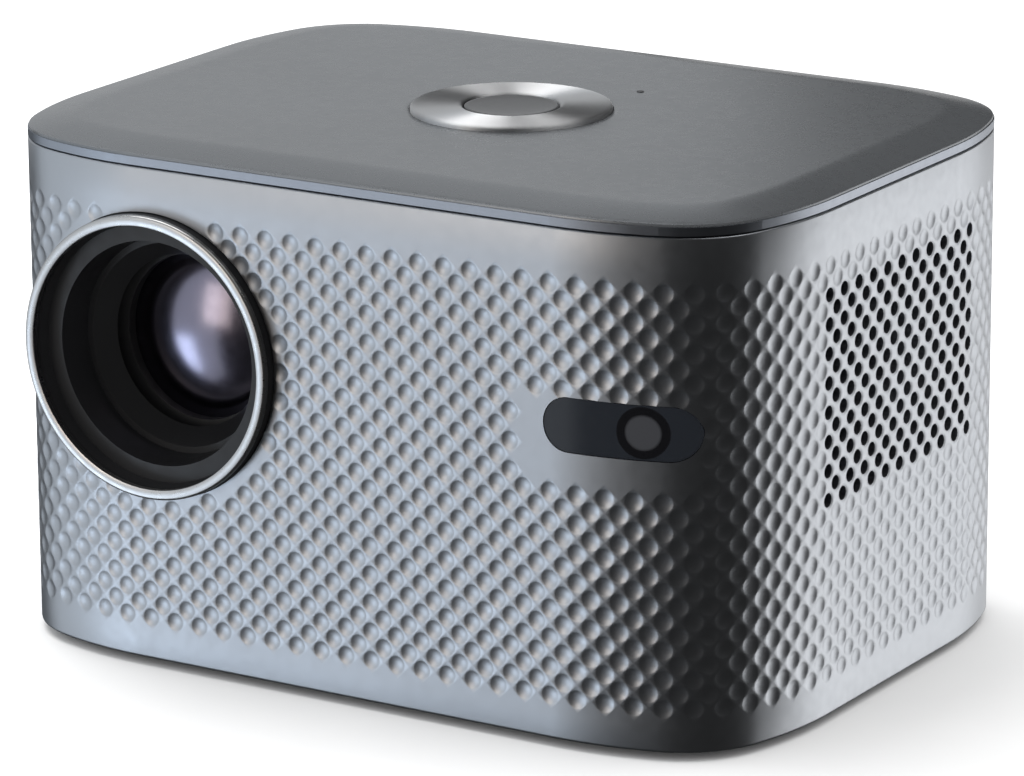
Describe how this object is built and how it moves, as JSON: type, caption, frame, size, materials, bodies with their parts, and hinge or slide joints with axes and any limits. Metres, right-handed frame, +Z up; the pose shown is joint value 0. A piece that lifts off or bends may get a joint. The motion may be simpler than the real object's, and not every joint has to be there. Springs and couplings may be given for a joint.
{
  "type": "projector with disc player",
  "caption": "Compact box projector with a front lens, side vents and top button, and a slim disc tray that slides out of the rear.",
  "frame": {"origin": "on the ground under the middle of the part's bounding box", "axes": "+X to the right seen from the front, front (lens) faces -Y, +Z up"},
  "size_m": [0.24, 0.1814, 0.1485],
  "materials": {
    "metallic_paint": "fine metallic paint, satin",
    "plate_plastic": "matte dark grey, fine grain",
    "dark_plastic": "matte black moulded plastic",
    "hood_plastic": "matte black, turned",
    "rubber": "matte rubber",
    "brass": "turned brass",
    "steel": "zinc-plated sheet and screws",
    "bright_rim": "polished aluminium",
    "brushed_aluminium": "circularly brushed aluminium",
    "button_plastic": "dark satin plastic",
    "smoked_window": "smoked infrared-pass plastic",
    "light_pipe": "milky light pipe",
    "optical_glass": "coated optical glass",
    "mirror": "front-silvered mirror",
    "board": "solder-masked circuit board",
    "cast_metal": "cast and extruded aluminium",
    "grey_plastic": "glass-filled dark grey plastic",
    "foam": "open filter foam"
  },
  "bodies": {
    "housing": {"sleeve": "metallic_paint", "upper_shell": "metallic_paint", "top_plate": "plate_plastic", "base_cover": "dark_plastic", "rear_panel": "dark_plastic", "rubber_feet": "rubber", "tripod_insert": "brass", "base_screws": "steel", "rear_screws": "steel", "lens_bezel": "hood_plastic", "lens_rim": "bright_rim", "control_ring": "brushed_aluminium", "button_board": "board", "status_light": "light_pipe", "sensor_window": "smoked_window", "sensor_module": "grey_plastic", "mid_deck": "grey_plastic", "engine_case": "grey_plastic", "engine_lid": "grey_plastic", "led_module": "board", "heat_sink": "cast_metal", "condenser_lens": "optical_glass", "lcd_panel": "optical_glass", "fresnel_lenses": "optical_glass", "fold_mirror": "mirror", "lens_mount": "grey_plastic", "focus_motor": "steel", "fan_frame": "dark_plastic", "air_filter": "foam", "speaker_left": "grey_plastic", "speaker_right": "grey_plastic", "main_board": "board", "power_board": "board", "hdmi_socket": "steel", "usb_sockets": "steel", "audio_jack": "dark_plastic", "power_inlet": "dark_plastic", "drive_chassis": "steel", "drive_lid": "steel"},
    "power_button": {"power_button": "button_plastic"},
    "lens_barrel": {"lens_barrel": "grey_plastic", "front_lens": "optical_glass", "rear_lens": "optical_glass"},
    "focus_screw": {"focus_screw": "steel"},
    "fan_rotor": {"fan_rotor": "dark_plastic"},
    "tray": {"disc_tray": "dark_plastic", "tray_bezel": "dark_plastic", "loader_plate": "steel", "spindle_motor": "steel", "guide_rods": "steel", "sled_motor": "steel"},
    "tray_rails": {"tray_rails": "steel"},
    "eject_button": {"eject_button": "button_plastic"},
    "turntable": {"turntable": "dark_plastic"},
    "pickup_sled": {"pickup_sled": "grey_plastic"},
    "sled_screw": {"sled_screw": "steel"}
  },
  "joints": [
    {"name": "power_press", "type": "slide", "parent": "housing", "child": "power_button", "axis": [0, 0, -1], "range_m": [0, 0.001], "stiffness_N_per_m": 400, "springref_m": -0.0015},
    {"name": "focus_slide", "type": "slide", "parent": "housing", "child": "lens_barrel", "axis": [0, 1, 0], "range_m": [-0.003, 0.003]},
    {"name": "focus_screw_turn", "type": "hinge", "parent": "housing", "child": "focus_screw", "pos_m": [-0.018, -0.05, 0.0893], "axis": [0, 1, 0], "range_deg": [-1081, 1081]},
    {"name": "fan_spin", "type": "hinge", "parent": "housing", "child": "fan_rotor", "pos_m": [0.1047, 0.007, 0.088], "axis": [1, 0, 0], "continuous": true},
    {"name": "tray_slide", "type": "slide", "parent": "housing", "child": "tray", "axis": [0, 1, 0], "range_m": [0, 0.122]},
    {"name": "rail_slide", "type": "slide", "parent": "housing", "child": "tray_rails", "axis": [0, 1, 0], "range_m": [0, 0.061]},
    {"name": "eject_press", "type": "slide", "parent": "tray", "child": "eject_button", "axis": [0, -1, 0], "range_m": [0, 0.0008], "stiffness_N_per_m": 200, "springref_m": -0.001},
    {"name": "disc_spin", "type": "hinge", "parent": "tray", "child": "turntable", "pos_m": [0, 0.02414, 0.016], "axis": [0, 0, 1], "continuous": true},
    {"name": "pickup_slide", "type": "slide", "parent": "tray", "child": "pickup_sled", "axis": [0.7071, -0.7071, 0], "range_m": [0, 0.032]},
    {"name": "sled_screw_turn", "type": "hinge", "parent": "tray", "child": "sled_screw", "pos_m": [0.02828, -0.00414, 0.013], "axis": [0.7071, -0.7071, 0], "range_deg": [-5, 3850]}
  ],
  "couplings": [
    {"joint": "focus_screw_turn", "follows": "focus_slide", "rad_per_m": 6283.2},
    {"joint": "rail_slide", "follows": "tray_slide", "ratio": 0.5},
    {"joint": "sled_screw_turn", "follows": "pickup_slide", "rad_per_m": 2094.4}
  ]
}
